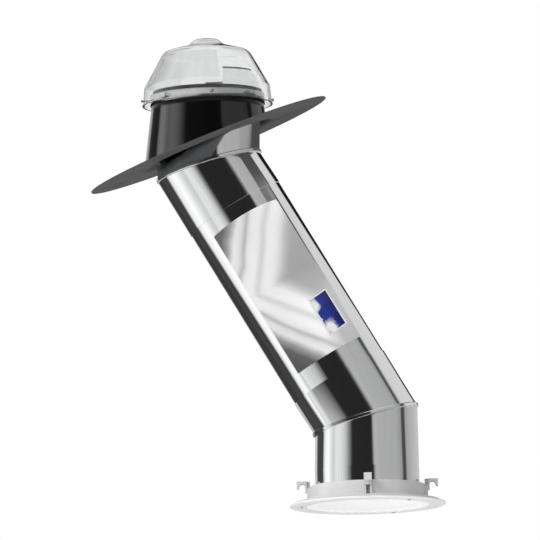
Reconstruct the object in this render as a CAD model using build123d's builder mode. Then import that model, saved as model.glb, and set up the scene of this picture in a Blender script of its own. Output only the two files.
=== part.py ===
"""Tubular skylight: clear roof dome, pitched roof flashing, mirror tube with two swivel elbows, ceiling ring.

Millimetres. +Z is up and +X points up the roof slope, towards the side that the tube leans to.
The origin is where the turret axis crosses the underside of the roof flange.
"""

import os
from math import cos, degrees, pi, radians, sin, sqrt, tan

from build123d import *

os.makedirs("parts", exist_ok=True)

# Roof and tube run
roof_pitch = 21.0
roof_turn = 9.5
elbow_half_angle = 15.0
tube_radius = 127.0
tube_wall = 0.8
top_joint_depth = 53.0
leg_length = 731.7
ceiling_drop = 198.0

# Swivel elbows
joint_step = 3.0
elbow_leg = 123.0
bead_height = 3.6
bead_depth = 9.0
bead_wall = 0.9
bead_play = 0.4
bead_corner = 1.6
overlap = 25.0
slip_gap = 0.8

# Window in the leg, and the blank label inside it
window_start = 159.0
window_length = 399.0
window_crown = 5.5
window_width = 178.0
window_shift = 3.0
window_corner = 3.0
label_width = 60.0
label_length = 102.0
label_thickness = 0.4
label_glue = 0.1
label_place = 444.5
label_angle = 34.0

# Roof flashing
flange_radius = 309.0
flange_sheet = 1.6
flange_hem = 3.2
turret_clearance = 10.0
turret_top = 104.0
turret_taper = 7.5
turret_sheet = 1.6
turret_flare = 14.0
roof_hole_radius = 2.6
roof_hole_inset = 29.0
roof_hole_count = 8

# Dome ring, tube seal and dome screws
dome_ring_height = 18.0
dome_ring_wall = 2.4
dome_ring_lip = 5.0
seal_height = 10.0
seal_thickness = 5.6
lug_width = 16.0
lug_height = 12.0
screw_radius = 2.1
screw_head_radius = 4.2
screw_head_height = 2.4
dome_screw_rise = 7.0
dome_screw_start = 5.0

# Dome
dome_overhang = 21.0
dome_wall = 3.0
dome_skirt_foot = 99.0
dome_skirt_top = 143.0
dome_skirt_draft = 4.0
dome_shoulder_inset = 53.0
dome_shoulder = 231.0
dome_crown_radius = 46.0
dome_crown = 247.0
dome_cap_radius = 29.0
dome_cap = 261.0
dome_rim = 2.0
dome_skirt_corner = 10.0
dome_shoulder_corner = 26.0
dome_crown_corner = 14.0
dome_cap_corner = 7.0

# Light collector in the dome
prism_sheet = 1.2
prism_gap = 0.4
prism_foot = 147.0
prism_head = 219.0
prism_first = 120.0
prism_last = 283.0
mirror_grip = 8.0
mirror_sheet = 0.8
mirror_rise = 43.0
mirror_cut_rise = 19.0
mirror_cut_slope = 50.0
mirror_first = -72.0
mirror_last = 92.0

# Ceiling ring
collar_gap = 9.5
collar_wall = 2.5
collar_height = 38.0
ring_flange = 37.0
ring_thickness = 3.0
tube_ledge = 5.0
ring_rim_depth = 6.0
ring_rim_wall = 2.5
bearing_step = 0.5
bearing_inset = 12.0
ring_fillet = 2.0

# Hook clamps on the collar
clamp_width = 19.0
rail_width = 4.9
rail_depth = 8.0
rail_height = 35.0
clamp_length = 33.0
clamp_rise = 51.5
clamp_arm = 7.0
clamp_lug = 27.0
clamp_tooth = 18.0
clamp_tooth_width = 4.0
hook_corner = 5.0
clamp_screw_radius = 2.0
clamp_screw_gap = 0.08
clamp_play = 0.3
clamp_count = 4

# Trim ring and diffuser
trim_cover = 14.0
trim_drop = 5.0
trim_flange = 40.0
trim_sheet = 2.2
lens_sheet = 2.0
lens_seat = 5.0
lens_bow = 3.0
lens_bow_margin = 2.0
upper_lens_margin = 1.0
upper_lens_sheet = 1.5
lens_gasket_width = 10.0
trim_screw_inset = 13.0
trim_screw_count = 3
trim_screw_start = 67.0
trim_boss_radius = 5.0
trim_corner = 3.0

# Play between neighbouring pieces
seat_gap = 0.3


# Places worked out from the driving dimensions
joint_radius = tube_radius + joint_step
turret_top_radius = tube_radius + turret_clearance
dome_radius = turret_top_radius + dome_overhang
dome_shoulder_radius = dome_radius - dome_shoulder_inset
roof_hole_circle = flange_radius - roof_hole_inset
collar_radius = tube_radius + collar_gap + collar_wall
ring_radius = collar_radius + ring_flange
ring_opening = tube_radius - tube_ledge
bearing_radius = collar_radius + bearing_inset
clamp_reach = collar_radius + clamp_length
trim_radius = ring_radius + trim_cover
trim_opening = trim_radius - trim_flange
trim_screw_circle = ring_radius - trim_screw_inset
lens_bow_radius = ring_opening + lens_bow_margin
upper_lens_radius = collar_radius - upper_lens_margin

# Directions and centres of the tube run
leg_angle = 2 * elbow_half_angle
leg_dir = Vector(sin(radians(leg_angle)), 0, -cos(radians(leg_angle)))
joint_dir = Vector(sin(radians(elbow_half_angle)), 0, -cos(radians(elbow_half_angle)))
down = Vector(0, 0, -1)
toward_viewer = Vector(0, -1, 0)
top_joint = Vector(0, 0, -top_joint_depth)
bottom_joint = top_joint + leg_dir * leg_length
top_seam = top_joint - joint_dir * bead_depth / 2
bottom_seam = bottom_joint - joint_dir * bead_depth / 2
ring_axis_x = bottom_joint.X
flange_top = bottom_joint.Z - ceiling_drop
collar_top = flange_top + collar_height
ring_foot = flange_top - bearing_step - ring_rim_depth

seal_foot = turret_top + dome_ring_height + seat_gap
tube_top = seal_foot + seal_height
dome_ring_foot = turret_top - dome_ring_lip


def across(origin, direction):
    """Plane at a point of the tube run, square to a direction in the XZ plane, x to the upper right."""
    return Plane(origin=origin, x_dir=Vector(-direction.Z, 0, direction.X), z_dir=direction)


def axis_plane(origin, direction):
    """Plane through an axis of the tube run: x outwards, y along the direction."""
    return Plane(origin=origin, x_dir=Vector(-direction.Z, 0, direction.X), z_dir=Vector(0, 1, 0))


def finish(builder, name):
    """Label the finished piece and write its file."""
    builder.part.label = name
    export_step(builder.part, "parts/" + name + ".step")


# Roof flashing: flange and turret pressed from one sheet
turret_slope = tan(radians(turret_taper))
turret_bottom = -flange_radius / 2
roof_up_slope = Vector(cos(radians(roof_pitch)), 0, sin(radians(roof_pitch))).rotate(Axis.Z, roof_turn)
roof_normal = Vector(-sin(radians(roof_pitch)), 0, cos(radians(roof_pitch))).rotate(Axis.Z, roof_turn)
roof_plane = Plane(origin=(0, 0, 0), x_dir=roof_up_slope, z_dir=roof_normal)


def turret_radius(height):
    """Outside radius of the turret at a height."""
    return turret_top_radius + (turret_top - height) * turret_slope


def turret_block(inset, top):
    """Solid cone of the turret down to the roof plane, joined to a disc in that plane, flare included."""
    disc_radius = flange_radius if inset == 0 else flange_radius - flange_hem
    disc_height = flange_sheet if inset == 0 else -flange_sheet
    with BuildPart() as block:
        with BuildSketch(Plane.XZ):
            with BuildLine():
                Polyline(
                    (0, turret_bottom),
                    (turret_radius(turret_bottom) - inset, turret_bottom),
                    (turret_radius(top) - inset, top),
                    (0, top),
                    close=True,
                )
            make_face()
        revolve(axis=Axis.Z)
        with BuildSketch(roof_plane):
            Circle(2 * flange_radius)
        extrude(amount=-3 * flange_radius, mode=Mode.SUBTRACT)
        with BuildSketch(roof_plane):
            Circle(disc_radius)
        extrude(amount=disc_height)
        ovals = block.edges().filter_by(GeomType.ELLIPSE)
        junction = ovals.sort_by(lambda edge: abs(edge.length - 2 * pi * turret_radius(0)))[0]
        fillet(junction, radius=turret_flare + inset)
    return block.part


flashing_outside = turret_block(0, turret_top)
flashing_inside = turret_block(turret_sheet, turret_top + 1)

with BuildPart() as flashing:
    add(flashing_outside)
    add(flashing_inside, mode=Mode.SUBTRACT)
    with BuildSketch(roof_plane):
        Circle(flange_radius)
        Circle(flange_radius - flange_hem, mode=Mode.SUBTRACT)
    extrude(amount=flange_sheet)
    with BuildSketch(roof_plane):
        with PolarLocations(roof_hole_circle, roof_hole_count, start_angle=180 / roof_hole_count):
            Circle(roof_hole_radius)
    extrude(amount=2 * flange_sheet, both=True, mode=Mode.SUBTRACT)
finish(flashing, "flashing")


def ring_band(name, inside, outside, foot, head):
    """Plain ring about the turret axis."""
    with BuildPart() as band:
        with BuildSketch(Plane.XY.offset(foot)):
            Circle(outside)
            Circle(inside, mode=Mode.SUBTRACT)
        extrude(amount=head - foot)
    finish(band, name)


# Dome ring: sits on the turret's top edge, steps in to the tube and carries the dome on four lugs
dome_ring_radius = turret_radius(dome_ring_foot) + seat_gap + dome_ring_wall
lug_floor = turret_top + dome_screw_rise - lug_height / 2
skirt_slope = dome_skirt_draft / (dome_skirt_top - dome_skirt_foot)
dome_lug_out = dome_radius - (lug_floor + lug_height - dome_skirt_foot) * skirt_slope - dome_wall - 2 * seat_gap
with BuildPart() as dome_ring:
    with BuildSketch(Plane.XZ):
        with BuildLine():
            Polyline(
                (dome_ring_radius - dome_ring_wall, dome_ring_foot),
                (dome_ring_radius, dome_ring_foot),
                (dome_ring_radius, turret_top + dome_ring_height),
                (tube_radius + seat_gap, turret_top + dome_ring_height),
                (tube_radius + seat_gap, turret_top + seat_gap),
                (dome_ring_radius - dome_ring_wall, turret_top + seat_gap),
                close=True,
            )
        make_face()
    revolve(axis=Axis.Z)
    with BuildSketch(Plane.XY.offset(lug_floor)):
        with PolarLocations((dome_ring_radius - dome_ring_wall / 2 + dome_lug_out) / 2, 4, start_angle=45):
            Rectangle(dome_lug_out - dome_ring_radius + dome_ring_wall / 2, lug_width)
    extrude(amount=lug_height)
    for turn in range(4):
        with Locations(Location((0, 0, turret_top + dome_screw_rise), (0, 0, dome_screw_start + 90 * turn))):
            with Locations(Location((dome_lug_out, 0, 0), (0, 90, 0))):
                Hole(screw_radius, dome_lug_out - dome_ring_radius + dome_ring_wall)
finish(dome_ring, "dome_ring")

ring_band("tube_seal", tube_radius + seat_gap, tube_radius + seal_thickness, seal_foot, tube_top)

# Clear dome: skirt, cone, rounded shoulder, crown and raised cap, one wall all over
skirt_top_radius = dome_radius - dome_skirt_draft
dome_span = 2 * dome_radius
with BuildPart() as outer_dome:
    with BuildSketch(Plane.XZ) as dome_section:
        with BuildLine():
            edge = [
                (dome_radius, dome_skirt_foot - dome_span),
                (dome_radius, dome_skirt_foot),
                (skirt_top_radius, dome_skirt_top),
                (dome_shoulder_radius, dome_shoulder),
                (dome_crown_radius, dome_crown),
                (dome_cap_radius, dome_cap),
            ]
            Polyline(*edge, *[(-x, y) for x, y in reversed(edge)], close=True)
        make_face()
        fillet(dome_section.vertices().filter_by(lambda v: abs(abs(v.X) - skirt_top_radius) < 0.1), dome_skirt_corner)
        fillet(dome_section.vertices().filter_by(lambda v: abs(abs(v.X) - dome_shoulder_radius) < 0.1), dome_shoulder_corner)
        fillet(dome_section.vertices().filter_by(lambda v: abs(abs(v.X) - dome_crown_radius) < 0.1), dome_crown_corner)
        fillet(dome_section.vertices().filter_by(lambda v: abs(abs(v.X) - dome_cap_radius) < 0.1), dome_cap_corner)
        offset(dome_section.sketch, amount=-dome_wall, mode=Mode.SUBTRACT)
        with Locations((dome_radius, dome_skirt_foot + dome_span / 2)):
            Rectangle(dome_span, dome_span, mode=Mode.INTERSECT)
    revolve(axis=Axis.Z)
    with BuildSketch(Plane.XY.offset(dome_skirt_foot)):
        Circle(dome_radius + dome_rim)
        Circle(dome_radius - dome_wall / 2, mode=Mode.SUBTRACT)
    extrude(amount=dome_rim)
    for turn in range(4):
        with Locations(Location((0, 0, turret_top + dome_screw_rise), (0, 0, dome_screw_start + 90 * turn))):
            with Locations(Location((dome_radius + dome_rim, 0, 0), (0, 90, 0))):
                Hole(screw_radius + seat_gap, 4 * dome_wall)
finish(outer_dome, "outer_dome")

# Dome screws: head outside the skirt, shank through dome and lug
screw_shank = dome_rim + dome_radius - dome_ring_radius
with BuildPart() as dome_screws:
    for turn in range(4):
        spoke = Vector(1, 0, 0).rotate(Axis.Z, dome_screw_start + 90 * turn)
        head_seat = Vector(0, 0, turret_top + dome_screw_rise) + spoke * (dome_radius + dome_rim)
        with BuildSketch(Plane(origin=head_seat, z_dir=spoke)):
            Circle(screw_head_radius)
        extrude(amount=screw_head_height)
        with BuildSketch(Plane(origin=head_seat, z_dir=-spoke)):
            Circle(screw_radius)
        extrude(amount=screw_shank)
finish(dome_screws, "dome_screws")

# Prismatic panel close inside the cone of the dome
cone_slope = (skirt_top_radius - dome_shoulder_radius) / (dome_shoulder - dome_skirt_top)
prism_inset = (dome_wall + prism_gap) * sqrt(1 + cone_slope**2)


def prism_radius(height):
    """Outside radius of the prismatic panel at a height."""
    return skirt_top_radius - prism_inset - (height - dome_skirt_top) * cone_slope


with BuildPart() as prism_lens:
    with BuildSketch(Plane.XZ.rotated((0, 0, prism_first))):
        with BuildLine():
            Polyline(
                (prism_radius(prism_foot), prism_foot),
                (prism_radius(prism_head), prism_head),
                (prism_radius(prism_head) - prism_sheet, prism_head),
                (prism_radius(prism_foot) - prism_sheet, prism_foot),
                close=True,
            )
        make_face()
    revolve(axis=Axis.Z, revolution_arc=prism_last - prism_first)
finish(prism_lens, "prism_lens")

# Mirror opposite the panel: a bent sheet that stands in the tube's head, with its high side cut away on a slant
mirror_radius = tube_radius - tube_wall - seat_gap
with BuildPart() as dome_mirror:
    with BuildSketch(Plane.XZ.rotated((0, 0, mirror_first))):
        with Locations((mirror_radius - mirror_sheet, tube_top - mirror_grip)):
            Rectangle(mirror_sheet, mirror_grip + mirror_rise, align=(Align.MIN, Align.MIN))
    revolve(axis=Axis.Z, revolution_arc=mirror_last - mirror_first)
    split(
        bisect_by=Plane(
            origin=(mirror_radius, 0, tube_top + mirror_cut_rise),
            z_dir=Vector(0, 0, 1).rotate(Axis.Y, mirror_cut_slope),
        ),
        keep=Keep.BOTTOM,
    )
finish(dome_mirror, "dome_mirror")


# Swivel elbows: each half runs from a round tube to a round lock seam in the tilted joint plane
def elbow_half(round_centre, round_dir, joint_centre, seam):
    """Sheet of one elbow half between a round tube end and the tilted joint, seam piece added."""
    shells = []
    for inset in (0, tube_wall):
        with BuildPart() as shell:
            with BuildSketch(across(round_centre, round_dir)):
                Circle(tube_radius - inset)
            with BuildSketch(across(joint_centre, joint_dir)):
                Circle(joint_radius - inset)
            loft()
        shells.append(shell.part)
    with BuildPart() as half:
        add(shells[0])
        add(seam)
        add(shells[1], mode=Mode.SUBTRACT)
    return half.part


def lock_bead(centre):
    """Rolled bead on the upstream half: an open channel about the joint that holds the other half's lip."""
    with BuildPart() as bead:
        with BuildSketch(axis_plane(centre, joint_dir)) as section:
            with BuildLine():
                Polyline(
                    (joint_radius - tube_wall, -bead_wall),
                    (joint_radius + bead_height, -bead_wall),
                    (joint_radius + bead_height, bead_depth - bead_wall),
                    (joint_radius + 2 * bead_play, bead_depth - bead_wall),
                    (joint_radius + 2 * bead_play, bead_depth - 2 * bead_wall),
                    (joint_radius + bead_height - bead_wall, bead_depth - 2 * bead_wall),
                    (joint_radius + bead_height - bead_wall, 0),
                    (joint_radius - tube_wall, 0),
                    close=True,
                )
            make_face()
            fillet(section.vertices().filter_by(lambda v: v.X > joint_radius + bead_height - 0.1), bead_corner)
        revolve(axis=Axis((centre.X, centre.Y, centre.Z), (joint_dir.X, joint_dir.Y, joint_dir.Z)))
    return bead.part


def joint_lip(centre):
    """Sleeve and out-turned lip of the downstream half, the lip's edge turned down, loose inside the bead."""
    lip_radius = joint_radius + bead_height - bead_wall - bead_play
    with BuildPart() as lip:
        with BuildSketch(across(centre + joint_dir * bead_play, joint_dir)):
            Circle(lip_radius)
            Circle(joint_radius - tube_wall, mode=Mode.SUBTRACT)
        extrude(amount=bead_wall)
        with BuildSketch(across(centre + joint_dir * bead_play, joint_dir)):
            Circle(joint_radius)
            Circle(joint_radius - tube_wall, mode=Mode.SUBTRACT)
        extrude(amount=bead_depth)
        with BuildSketch(across(centre + joint_dir * bead_play, joint_dir)):
            Circle(lip_radius)
            Circle(lip_radius - bead_wall, mode=Mode.SUBTRACT)
        extrude(amount=bead_depth - 2 * bead_wall - 2 * bead_play)
    return lip.part


def straight_tube(centre, direction, length, radius):
    """Straight round sheet tube from a point along a direction."""
    with BuildPart() as tube:
        with BuildSketch(across(centre, direction)):
            Circle(radius)
            Circle(radius - tube_wall, mode=Mode.SUBTRACT)
        extrude(amount=length)
    return tube.part


top_elbow_head = top_joint - down * elbow_leg
with BuildPart() as top_elbow_upper:
    add(elbow_half(top_elbow_head, down, top_seam, lock_bead(top_seam)))
    add(straight_tube(Vector(0, 0, tube_top), down, tube_top - top_elbow_head.Z, tube_radius))
finish(top_elbow_upper, "top_elbow_upper")

sleeve_end = joint_dir * (bead_play + bead_depth)
with BuildPart() as top_elbow_lower:
    add(elbow_half(top_joint + leg_dir * elbow_leg, leg_dir, top_seam + sleeve_end, joint_lip(top_seam)))
finish(top_elbow_lower, "top_elbow_lower")

with BuildPart() as bottom_elbow_upper:
    add(elbow_half(bottom_joint - leg_dir * elbow_leg, leg_dir, bottom_seam, lock_bead(bottom_seam)))
finish(bottom_elbow_upper, "bottom_elbow_upper")

tube_end = flange_top - bearing_step + seat_gap
drop_start = bottom_joint + down * elbow_leg
with BuildPart() as bottom_tube:
    add(elbow_half(drop_start, down, bottom_seam + sleeve_end, joint_lip(bottom_seam)))
    add(straight_tube(drop_start, down, drop_start.Z - tube_end, tube_radius))
finish(bottom_tube, "bottom_tube")

# Extension tube slipped inside both elbows, with a window cut in its near wall
slip_radius = tube_radius - tube_wall - slip_gap
extension_start = top_joint + leg_dir * (elbow_leg - overlap)
extension_length = leg_length - 2 * (elbow_leg - overlap)
window_plane = Plane(
    origin=top_joint + leg_dir * (window_start + window_length / 2),
    x_dir=leg_dir,
    z_dir=toward_viewer,
)
with BuildPart() as extension_tube:
    add(straight_tube(extension_start, leg_dir, extension_length, slip_radius))
    with BuildSketch(window_plane) as window:
        with BuildLine():
            window_left = window_shift - window_width / 2
            window_right = window_shift + window_width / 2
            shoulder = window_crown - window_length / 2
            ThreePointArc((shoulder, window_left), (-window_length / 2, window_shift), (shoulder, window_right))
            Polyline(
                (shoulder, window_right),
                (window_length / 2, window_right),
                (window_length / 2, window_left),
                (shoulder, window_left),
            )
        make_face()
        fillet(window.vertices(), window_corner)
    extrude(amount=2 * tube_radius, mode=Mode.SUBTRACT)
finish(extension_tube, "extension_tube")

# Blank label stuck inside the far wall, behind the window
label_arc = degrees(label_width / slip_radius)
label_plane = across(top_joint + leg_dir * (label_place - label_length / 2), leg_dir)
label_outer = slip_radius - tube_wall - label_glue
label_start = label_angle - 90 - label_arc / 2
with BuildPart() as inner_label:
    with BuildSketch(label_plane):
        with BuildLine():
            CenterArc((0, 0), label_outer, label_start, label_arc)
            CenterArc((0, 0), label_outer - label_thickness, label_start, label_arc)
            PolarLine(
                start=Vector(label_outer - label_thickness, 0).rotate(Axis.Z, label_start),
                length=label_thickness,
                angle=label_start,
            )
            PolarLine(
                start=Vector(label_outer - label_thickness, 0).rotate(Axis.Z, label_start + label_arc),
                length=label_thickness,
                angle=label_start + label_arc,
            )
        make_face()
    extrude(amount=label_length)
finish(inner_label, "inner_label")


# Ceiling ring: collar, clamp rails, flange with a raised bearing face and a turned-down rim
ring_origin = Vector(ring_axis_x, 0, 0)
ring_axis = Axis((ring_axis_x, 0, 0), (0, 0, 1))
ring_plane = Plane(origin=ring_origin, x_dir=(1, 0, 0), z_dir=(0, -1, 0))
clamp_axis_radius = collar_radius + rail_depth / 2


def ring_level(height):
    """Horizontal plane on the ceiling ring's axis at a height."""
    return Plane.XY.offset(height).move(Location((ring_axis_x, 0, 0)))


with BuildPart() as ceiling_ring:
    with BuildSketch(ring_plane) as ring_section:
        with BuildLine():
            Polyline(
                (ring_opening, flange_top - bearing_step - ring_thickness),
                (ring_radius - ring_rim_wall, flange_top - bearing_step - ring_thickness),
                (ring_radius - ring_rim_wall, ring_foot),
                (ring_radius, ring_foot),
                (ring_radius, flange_top),
                (bearing_radius, flange_top),
                (bearing_radius, flange_top - bearing_step),
                (collar_radius, flange_top - bearing_step),
                (collar_radius, collar_top),
                (collar_radius - collar_wall, collar_top),
                (collar_radius - collar_wall, flange_top - bearing_step),
                (ring_opening, flange_top - bearing_step),
                close=True,
            )
        make_face()
        rim_corners = ring_section.vertices().filter_by(lambda v: abs(v.X - ring_radius) < 0.1)
        fillet(rim_corners.sort_by(Axis.Y)[-1], ring_fillet)
    revolve(axis=ring_axis)
    with BuildSketch(ring_level(flange_top - bearing_step)):
        with PolarLocations(clamp_axis_radius - collar_wall / 2, clamp_count):
            Rectangle(rail_depth + collar_wall, clamp_width)
            Rectangle(2 * rail_depth, clamp_width - 2 * rail_width, mode=Mode.SUBTRACT)
        Circle(collar_radius - collar_wall / 2, mode=Mode.SUBTRACT)
    extrude(amount=bearing_step + rail_height)
    with BuildSketch(ring_level(flange_top - bearing_step)):
        with PolarLocations(clamp_axis_radius, clamp_count):
            Circle(clamp_screw_radius + clamp_screw_gap)
    extrude(amount=-2 * ring_thickness, mode=Mode.SUBTRACT)
    with BuildSketch(ring_level(flange_top - bearing_step - ring_thickness)):
        with PolarLocations(trim_screw_circle, trim_screw_count, start_angle=trim_screw_start):
            Circle(screw_radius + seat_gap)
    extrude(amount=ring_thickness / 2 + seat_gap, mode=Mode.SUBTRACT)
finish(ceiling_ring, "ceiling_ring")

# Foam seal between tube and collar
with BuildPart() as ceiling_seal:
    with BuildSketch(ring_level(flange_top - bearing_step + seat_gap)):
        Circle(collar_radius - collar_wall - seat_gap)
        Circle(tube_radius + seat_gap, mode=Mode.SUBTRACT)
    extrude(amount=collar_height + bearing_step - 2 * seat_gap)
finish(ceiling_seal, "ceiling_seal")

# Hook clamps: a lug that runs between the rails on its screw, an arm outwards and a toothed end
clamp_names = ("right", "back", "left", "front")
clamp_lug_width = clamp_width - 2 * rail_width - 2 * clamp_play
lug_inside = collar_radius + clamp_play
rail_face = collar_radius + rail_depth
arm_inside = rail_face + clamp_play
clamp_screw_top = flange_top + clamp_rise
for turn, side in enumerate(clamp_names):
    clamp_plane = Plane(
        origin=ring_origin + Vector(0, 0, flange_top),
        x_dir=Vector(1, 0, 0).rotate(Axis.Z, 90 * turn),
        z_dir=Vector(0, -1, 0).rotate(Axis.Z, 90 * turn),
    )
    with BuildPart() as clamp:
        with BuildSketch(clamp_plane):
            with Locations((lug_inside, clamp_rise - clamp_lug)):
                Rectangle(arm_inside - lug_inside, clamp_lug, align=Align.MIN)
        extrude(amount=clamp_lug_width / 2, both=True)
        with BuildSketch(clamp_plane) as hook:
            with BuildLine():
                Polyline(
                    (arm_inside, clamp_rise - clamp_lug),
                    (arm_inside, clamp_rise),
                    (clamp_reach, clamp_rise),
                    (clamp_reach, clamp_rise - clamp_tooth),
                    (clamp_reach - clamp_tooth_width, clamp_rise - clamp_tooth),
                    (clamp_reach - 2.5 * clamp_tooth_width, clamp_rise - clamp_arm),
                    (arm_inside + clamp_tooth_width, clamp_rise - clamp_arm),
                    (arm_inside + clamp_tooth_width, clamp_rise - clamp_lug),
                    close=True,
                )
            make_face()
            arm_corners = hook.vertices().filter_by(lambda v: abs(v.Y - clamp_rise + clamp_arm) < 0.01)
            fillet(arm_corners.sort_by(Axis.X)[0], hook_corner)
        extrude(amount=clamp_width / 2, both=True)
        with BuildSketch(ring_level(clamp_screw_top)):
            with PolarLocations(clamp_axis_radius, 1, start_angle=90 * turn):
                Circle(clamp_screw_radius + clamp_screw_gap)
        extrude(amount=-2 * clamp_lug, mode=Mode.SUBTRACT)
    finish(clamp, "clamp_" + side)

# Clamp screws: heads under the flange, shanks up between the rails
with BuildPart() as clamp_screws:
    with BuildSketch(ring_level(flange_top - bearing_step - ring_thickness)):
        with PolarLocations(clamp_axis_radius, clamp_count):
            Circle(screw_head_radius)
    extrude(amount=-screw_head_height)
    with BuildSketch(ring_level(flange_top - bearing_step - ring_thickness)):
        with PolarLocations(clamp_axis_radius, clamp_count):
            Circle(clamp_screw_radius)
    extrude(amount=bearing_step + ring_thickness + clamp_rise - clamp_tooth_width / 2)
finish(clamp_screws, "clamp_screws")

# Trim ring: covers the ceiling ring from below and holds the diffuser on its inner ledge
trim_top = ring_foot - seat_gap
trim_foot = trim_top - trim_drop
ledge = trim_foot + trim_sheet
flange_underside = flange_top - bearing_step - ring_thickness
with BuildPart() as trim_ring:
    with BuildSketch(ring_plane) as trim_section:
        with BuildLine():
            Polyline(
                (trim_opening, trim_foot),
                (trim_radius - trim_drop, trim_foot),
                (trim_radius, trim_top - trim_sheet),
                (trim_radius, trim_top),
                (trim_radius - trim_sheet, trim_top),
                (trim_radius - trim_drop - trim_sheet / 2, ledge),
                (trim_opening, ledge),
                close=True,
            )
        make_face()
        fillet(trim_section.vertices().filter_by(lambda v: v.X > trim_radius - 0.1), trim_sheet / 3)
        fillet(trim_section.vertices().filter_by(lambda v: abs(v.X - trim_radius + trim_drop) < 0.1), trim_corner)
    revolve(axis=ring_axis)
    with BuildSketch(ring_level(ledge)):
        with PolarLocations(trim_screw_circle, trim_screw_count, start_angle=trim_screw_start):
            Circle(trim_boss_radius)
    extrude(amount=flange_underside - seat_gap - ledge)
    with BuildSketch(ring_level(flange_underside)):
        with PolarLocations(trim_screw_circle, trim_screw_count, start_angle=trim_screw_start):
            Circle(screw_radius + seat_gap)
    extrude(amount=-2 * trim_drop - ring_rim_depth, mode=Mode.SUBTRACT)
finish(trim_ring, "trim_ring")

# Trim screws: heads under the trim ring, shanks up into blind holes of the ceiling ring
with BuildPart() as trim_screws:
    with BuildSketch(ring_level(trim_foot)):
        with PolarLocations(trim_screw_circle, trim_screw_count, start_angle=trim_screw_start):
            Circle(screw_head_radius)
    extrude(amount=-screw_head_height)
    with BuildSketch(ring_level(trim_foot)):
        with PolarLocations(trim_screw_circle, trim_screw_count, start_angle=trim_screw_start):
            Circle(screw_radius)
    extrude(amount=flange_underside + ring_thickness / 2 - trim_foot)
finish(trim_screws, "trim_screws")

# Diffuser: bowed lower lens on the trim ledge, gasket ring, flat upper lens under the ceiling ring
lens_floor = ledge + seat_gap
lens_top = lens_floor + lens_sheet
bow_radius = (lens_bow_radius**2 + lens_bow**2) / (2 * lens_bow)
bow_inner_radius = bow_radius - lens_sheet
bow_centre = lens_floor - lens_bow + bow_radius
bow_inner_edge = sqrt(bow_inner_radius**2 - (bow_centre - lens_top) ** 2)
with BuildPart() as diffuser_lens:
    with BuildSketch(ring_plane):
        with BuildLine():
            Polyline(
                (bow_inner_edge, lens_top),
                (trim_opening + lens_seat, lens_top),
                (trim_opening + lens_seat, lens_floor),
                (lens_bow_radius, lens_floor),
            )
            RadiusArc((lens_bow_radius, lens_floor), (0, lens_floor - lens_bow), bow_radius)
            Line((0, lens_floor - lens_bow), (0, lens_floor - lens_bow + lens_sheet))
            RadiusArc((0, lens_floor - lens_bow + lens_sheet), (bow_inner_edge, lens_top), -bow_inner_radius)
        make_face()
    revolve(axis=ring_axis)
finish(diffuser_lens, "diffuser_lens")

upper_lens_floor = flange_underside - seat_gap - upper_lens_sheet
with BuildPart() as lens_gasket:
    with BuildSketch(ring_level(lens_top + seat_gap)):
        Circle(upper_lens_radius)
        Circle(upper_lens_radius - lens_gasket_width, mode=Mode.SUBTRACT)
    extrude(amount=upper_lens_floor - lens_top - 2 * seat_gap)
finish(lens_gasket, "lens_gasket")

with BuildPart() as upper_lens:
    with BuildSketch(ring_level(upper_lens_floor)):
        Circle(upper_lens_radius)
    extrude(amount=upper_lens_sheet)
finish(upper_lens, "upper_lens")
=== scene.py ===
"""Finishes, studio and camera for a tubular skylight: dome, flashing, mirror tube with swivel elbows, ceiling ring.

Lengths are metres in the part's own frame: +Z up, and the tube leans towards +X in the XZ plane.
"""

import logging
import math
from dataclasses import dataclass
from enum import Enum

import bpy
from mathutils import Matrix, Vector


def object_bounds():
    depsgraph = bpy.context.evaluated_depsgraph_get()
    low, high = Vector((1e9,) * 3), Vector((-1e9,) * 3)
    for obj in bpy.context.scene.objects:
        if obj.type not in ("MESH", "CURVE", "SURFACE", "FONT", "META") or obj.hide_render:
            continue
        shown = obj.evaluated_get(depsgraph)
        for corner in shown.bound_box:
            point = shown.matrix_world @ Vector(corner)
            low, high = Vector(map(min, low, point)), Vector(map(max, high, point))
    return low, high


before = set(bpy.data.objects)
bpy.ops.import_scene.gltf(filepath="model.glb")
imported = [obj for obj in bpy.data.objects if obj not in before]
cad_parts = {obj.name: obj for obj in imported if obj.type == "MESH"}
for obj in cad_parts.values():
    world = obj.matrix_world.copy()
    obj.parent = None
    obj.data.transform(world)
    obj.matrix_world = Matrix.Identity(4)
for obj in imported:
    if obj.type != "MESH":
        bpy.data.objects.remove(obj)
CAD_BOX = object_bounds()
log = logging.getLogger("skylight")

Socket = bpy.types.NodeSocket
Pair = tuple[float, float]
Triple = tuple[float, float, float]
Colour = Triple
Turns = tuple[Pair, ...]

# Most of a noise lies in this range.
NOISE_CORE: Pair = (0.3, 0.7)


class Lean(Enum):
    """Tilt of a tube's axis from the vertical, in degrees, towards +X at the foot."""

    UPRIGHT = 0.0
    LEANING = 30.0


class Op(Enum):
    """Ways to work out a number from two others. The last three look at the first only."""

    ADD = "ADD"
    SUBTRACT = "SUBTRACT"
    MULTIPLY = "MULTIPLY"
    DIVIDE = "DIVIDE"
    POWER = "POWER"
    MAXIMUM = "MAXIMUM"
    LESS_THAN = "LESS_THAN"
    ARCTAN2 = "ARCTAN2"
    ABSOLUTE = "ABSOLUTE"
    SINE = "SINE"
    ARCSINE = "ARCSINE"


def shade(tone: Colour, share: float) -> Colour:
    """A share of a colour's light."""
    return tuple(share * part for part in tone)


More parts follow.
